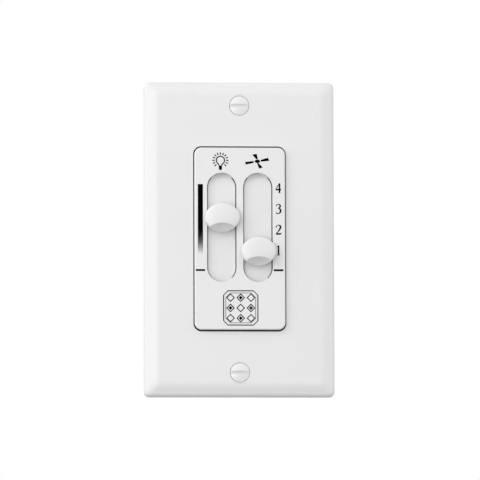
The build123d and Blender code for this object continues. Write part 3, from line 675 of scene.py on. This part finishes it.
# Strokes of (x, z, width) points round the middle of each digit
digit_strokes = {
    "1": (((-0.62, 1.18, 0.12), (-0.3, 1.36, 0.2), (0.02, 1.6, 0.3)),
          ((0.0, 1.68, 0.42), (0.0, -1.6, 0.42)),
          ((-0.6, -1.62, 0.16), (0.6, -1.62, 0.16))),
    "2": (((-0.88, 0.72, 0.34), (-0.72, 1.24, 0.2), (-0.05, 1.6, 0.22), (0.62, 1.22, 0.46),
           (0.66, 0.6, 0.5), (0.2, -0.22, 0.36), (-0.45, -0.95, 0.24), (-0.95, -1.42, 0.2)),
          ((-0.95, -1.46, 0.4), (0.62, -1.46, 0.44), (0.92, -1.1, 0.12))),
    "3": (((-0.8, 0.98, 0.3), (-0.5, 1.46, 0.2), (0.1, 1.6, 0.24), (0.6, 1.2, 0.44),
           (0.52, 0.6, 0.4), (-0.12, 0.16, 0.18)),
          ((-0.2, 0.2, 0.16), (0.45, 0.02, 0.36), (0.8, -0.55, 0.5), (0.62, -1.2, 0.44),
           (0.02, -1.6, 0.24), (-0.55, -1.56, 0.28), (-0.86, -1.3, 0.34))),
    "4": (((0.34, 1.62, 0.2), (-0.94, -0.36, 0.2)),
          ((-1.0, -0.52, 0.4), (1.0, -0.52, 0.4)),
          ((0.4, 1.7, 0.46), (0.4, -1.7, 0.46))),
}


def print_numbers():
    """The four speeds, each as a few strokes of changing width."""
    for digit, z in number_places:
        builder = bmesh.new()
        for stroke in digit_strokes[digit]:
            line = smooth_line(stroke) if len(stroke) > 2 else stroke
            bold = [(x, digit_growth * up, digit_boldness * width) for x, up, width in line]
            add_stroke(builder, bold, (number_x, z))
        print_piece(f"number_{digit}", builder)


# Print: pictograms, bar and marks

bulb_place = (-7.02, 28.3)
bulb_radius = 1.47
bulb_stroke = 0.41
glass_start = -52.0
glass_sweep = 284.0
neck_x = 0.42
neck_z = -1.75
bulb_base = ((-0.6, -1.85), (0.6, -1.85), (0.56, -3.1), (0.32, -3.55), (-0.32, -3.55), (-0.56, -3.1))
ray_middle = 2.5
ray_length = 0.85
ray_width = 0.4
ray_count = 13
ray_step = 22.5

fan_place = (6.38, 28.0)
fan_hub = (0.98, 0.62)
hub_step = 12
fan_blades = (
    ((1.15, 0.5), (3.8, 1.33), (4.36, 0.2), (1.3, -0.12)),
    ((-1.4, 0.08), (-1.3, -0.56), (-4.2, -1.2), (-4.45, -0.25)),
    ((-0.42, 0.78), (-1.86, 2.42), (-0.24, 2.7), (0.2, 0.72)),
    ((0.4, -0.66), (2.0, -2.2), (0.62, -2.66), (-0.14, -0.64)),
)

bar_middle = -14.31
bar_width = 1.86
bar_top = 19.66
bar_solid_end = 3.3
bar_end = -5.6
bar_columns = 9
bar_fade = 2.2
square_share = 0.49

# The middle and the length of each mark
off_marks = ((-14.35, 3.4), (13.93, 3.5))
off_mark_z = -11.52
off_mark_width = 0.7


def print_bulb():
    """A light bulb in outline with a dark base, under a fan of short rays."""
    builder = bmesh.new()
    glass = arc_line(bulb_radius, bulb_stroke, glass_start, glass_sweep)
    outline = [(neck_x, neck_z, bulb_stroke)] + glass + [(-neck_x, neck_z, bulb_stroke)]
    add_stroke(builder, outline, bulb_place)
    add_polygon(builder, bulb_base, bulb_place)
    for ray in range(ray_count):
        angle = math.radians(90.0 + (ray - (ray_count - 1) / 2) * ray_step)
        ends = [(reach * math.cos(angle), reach * math.sin(angle), ray_width)
                for reach in (ray_middle - ray_length / 2, ray_middle + ray_length / 2)]
        add_stroke(builder, ends, bulb_place)
    print_piece("light_pictogram", builder)


def print_fan():
    """A ceiling fan's hub and four blades, seen from below at a slant."""
    builder = bmesh.new()
    hub = [(fan_hub[0] * math.cos(math.radians(a)), fan_hub[1] * math.sin(math.radians(a)))
           for a in range(0, 360, hub_step)]
    add_polygon(builder, hub, fan_place)
    for blade in fan_blades:
        add_polygon(builder, blade, fan_place)
    print_piece("fan_pictogram", builder)


def print_bar():
    """The dimmer's bar: solid above, then rows of squares that shrink to nothing."""
    builder = bmesh.new()
    left, right = bar_middle - bar_width / 2, bar_middle + bar_width / 2
    add_polygon(builder, ((left, bar_solid_end), (right, bar_solid_end), (right, bar_top),
                          (left, bar_top)))
    pitch = bar_width / bar_columns
    rows = int((bar_solid_end - bar_end) / pitch)
    for row in range(rows):
        cover = 1 - ((row + 0.5) / rows) ** bar_fade
        half = square_share * pitch * math.sqrt(cover)
        z = bar_solid_end - (row + 0.5) * pitch
        for column in range(bar_columns):
            x = left + (column + 0.5) * pitch
            add_polygon(builder, ((x - half, z - half), (x + half, z - half), (x + half, z + half),
                                  (x - half, z + half)))
    print_piece("dimmer_bar", builder)


def print_off_marks():
    """A short dash on each side at the sliders' lowest place."""
    builder = bmesh.new()
    for middle, length in off_marks:
        add_stroke(builder, ((middle - length / 2, off_mark_z, off_mark_width),
                             (middle + length / 2, off_mark_z, off_mark_width)))
    print_piece("off_marks", builder)


# Print: a plain geometric ornament

ornament_place = (0.2, -25.2)
ornament_half = 6.2
ornament_line = 0.34
border_gap = 0.8
border_cut = 1.6
lozenge_pitch = 3.7
lozenge_half = 1.35
lozenge_core = 0.55

# Strokes are wider at their corners, so that the lines between keep their width
corner_growth = 1.08
tip_growth = 1.41


def print_ornament():
    """A double square border with cut corners round nine lozenges, every second one with a core."""
    builder = bmesh.new()
    for half, width in ((ornament_half, ornament_line), (ornament_half - border_gap, ornament_line / 2)):
        corners = []
        for sx, sz in ((1, 1), (-1, 1), (-1, -1), (1, -1)):
            near, far = (half - border_cut, half), (half, half - border_cut)
            pair = (far, near) if sx * sz > 0 else (near, far)
            corners += [(sx * x, sz * z, width * corner_growth) for x, z in pair]
        add_stroke(builder, corners, ornament_place, closed=True)
    for column in (-1, 0, 1):
        for row in (-1, 0, 1):
            x, z = column * lozenge_pitch, row * lozenge_pitch
            tips = ((lozenge_half, 0), (0, lozenge_half), (-lozenge_half, 0), (0, -lozenge_half))
            if (column + row) % 2:
                core = [(x + lozenge_core * a, z + lozenge_core * b) for a, b in tips]
                add_polygon(builder, core, ornament_place)
            rim = [(x + a, z + b, ornament_line * tip_growth) for a, b in tips]
            add_stroke(builder, rim, ornament_place, closed=True)
    print_piece("ornament", builder)


# Threads

def build_threads():
    """A right-handed ridge wound round each plate screw's shank, fading out at both ends."""
    builder = bmesh.new()
    count = int((thread_end - thread_start) / thread_pitch * thread_steps)
    for side in (-1, 1):
        rings = []
        for step in range(count + 1):
            angle = 2 * math.pi * step / thread_steps
            middle = thread_start + thread_pitch * step / thread_steps
            full = min(1.0, step / thread_steps, (count - step) / thread_steps)
            ring = []
            for along, rise in thread_profile:
                radius = shank_radius - thread_sink + rise * (thread_sink + thread_height * full)
                ring.append(builder.verts.new((radius * math.sin(angle), middle + along * thread_pitch,
                                               side * screw_place + radius * math.cos(angle))))
            rings.append(ring)
        for here, there in zip(rings, rings[1:]):
            for i in range(len(here)):
                j = (i + 1) % len(here)
                builder.faces.new((here[i], there[i], there[j], here[j]))
        builder.faces.new(rings[0])
        builder.faces.new(rings[-1])
    finish_mesh("plate_screw_threads", builder, "plate_screw_paint", "chassis")


build_threads()
print_numbers()
print_bulb()
print_fan()
print_bar()
print_off_marks()
print_ornament()


# Camera, light and stage

def aim(thing, direction, roll=0.0):
    """Turns a lamp or camera so that it looks along a direction, rolled about it."""
    thing.rotation_mode = "QUATERNION"
    thing.rotation_quaternion = direction.to_track_quat("-Z", "Y") @ Quaternion((0.0, 0.0, 1.0), roll)


def place_camera():
    """The photograph's view."""
    data = bpy.data.cameras.new("camera")
    data.sensor_width = sensor
    data.lens = lens
    camera = bpy.data.objects.new("camera", data)
    bpy.context.scene.collection.objects.link(camera)
    back = Vector((math.sin(view_azimuth) * math.cos(view_elevation),
                   -math.cos(view_azimuth) * math.cos(view_elevation), math.sin(view_elevation)))
    distance = view_field * lens / sensor
    camera.location = target + back * distance
    aim(camera, -back, view_roll)
    bpy.context.scene.camera = camera


def place_lamp(name, direction, distance, size, level):
    """A soft square lamp aimed at the face. At level 1, a small one ahead shows a colour as written."""
    data = bpy.data.lights.new(name, "AREA")
    data.size = size
    data.energy = level * (math.pi * distance) ** 2
    lamp = bpy.data.objects.new(name, data)
    bpy.context.scene.collection.objects.link(lamp)
    lamp.location = target + direction.normalized() * distance
    aim(lamp, -direction)


def build_world():
    """Even studio light, and white where the camera or a reflection sees past the object."""
    world = bpy.data.worlds.new("studio")
    bpy.context.scene.world = world
    world.use_nodes = True
    tree = world.node_tree
    shown = tree.nodes["Background"]
    shown.inputs["Color"].default_value = (1.0, 1.0, 1.0, 1.0)
    soft = tree.nodes.new("ShaderNodeBackground")
    soft.inputs["Color"].default_value = (ambient, ambient, ambient, 1.0)
    path = tree.nodes.new("ShaderNodeLightPath")
    seen = calculate(tree, "MAXIMUM", path.outputs["Is Camera Ray"],
                     calculate(tree, "MAXIMUM", path.outputs["Is Glossy Ray"],
                               path.outputs["Is Transmission Ray"]))
    mix = tree.nodes.new("ShaderNodeMixShader")
    tree.links.new(seen, mix.inputs[0])
    tree.links.new(soft.outputs[0], mix.inputs[1])
    tree.links.new(shown.outputs[0], mix.inputs[2])
    tree.links.new(mix.outputs[0], tree.nodes["World Output"].inputs["Surface"])


def floor_paint():
    """Pale paint that throws less light back on the object than it shows to the eye."""
    tree, shown = start_material("floor_paint")
    skin = place_group(tree, moulded_skin, color=(0.82, 0.82, 0.82), grain_size=300.0, flow=0.05,
                       roughness=0.7)
    tree.links.new(skin.outputs["Color"], shown.inputs["Base Color"])
    tree.links.new(skin.outputs["Roughness"], shown.inputs["Roughness"])
    bounce = tree.nodes.new("ShaderNodeBsdfDiffuse")
    bounce.inputs["Color"].default_value = (floor_bounce, floor_bounce, floor_bounce, 1.0)
    path = tree.nodes.new("ShaderNodeLightPath")
    mix = tree.nodes.new("ShaderNodeMixShader")
    tree.links.new(path.outputs["Is Diffuse Ray"], mix.inputs[0])
    tree.links.new(shown.outputs[0], mix.inputs[1])
    tree.links.new(bounce.outputs[0], mix.inputs[2])
    tree.links.new(mix.outputs[0], tree.nodes["Material Output"].inputs["Surface"])


def build_floor():
    """A plain pale floor below the object."""
    floor_paint()
    mesh = bpy.data.meshes.new("floor")
    half = floor_size / 2
    z = cad_low.z - floor_drop
    mesh.from_pydata([(-half, -half, z), (half, -half, z), (half, half, z), (-half, half, z)], [],
                     [(0, 1, 2, 3)])
    floor = bpy.data.objects.new("floor", mesh)
    bpy.context.scene.collection.objects.link(floor)
    mesh.materials.append(materials["floor_paint"])


place_camera()
for lamp_values in lamps:
    place_lamp(*lamp_values)
build_world()
build_floor()
bpy.context.scene.view_settings.view_transform = "Standard"
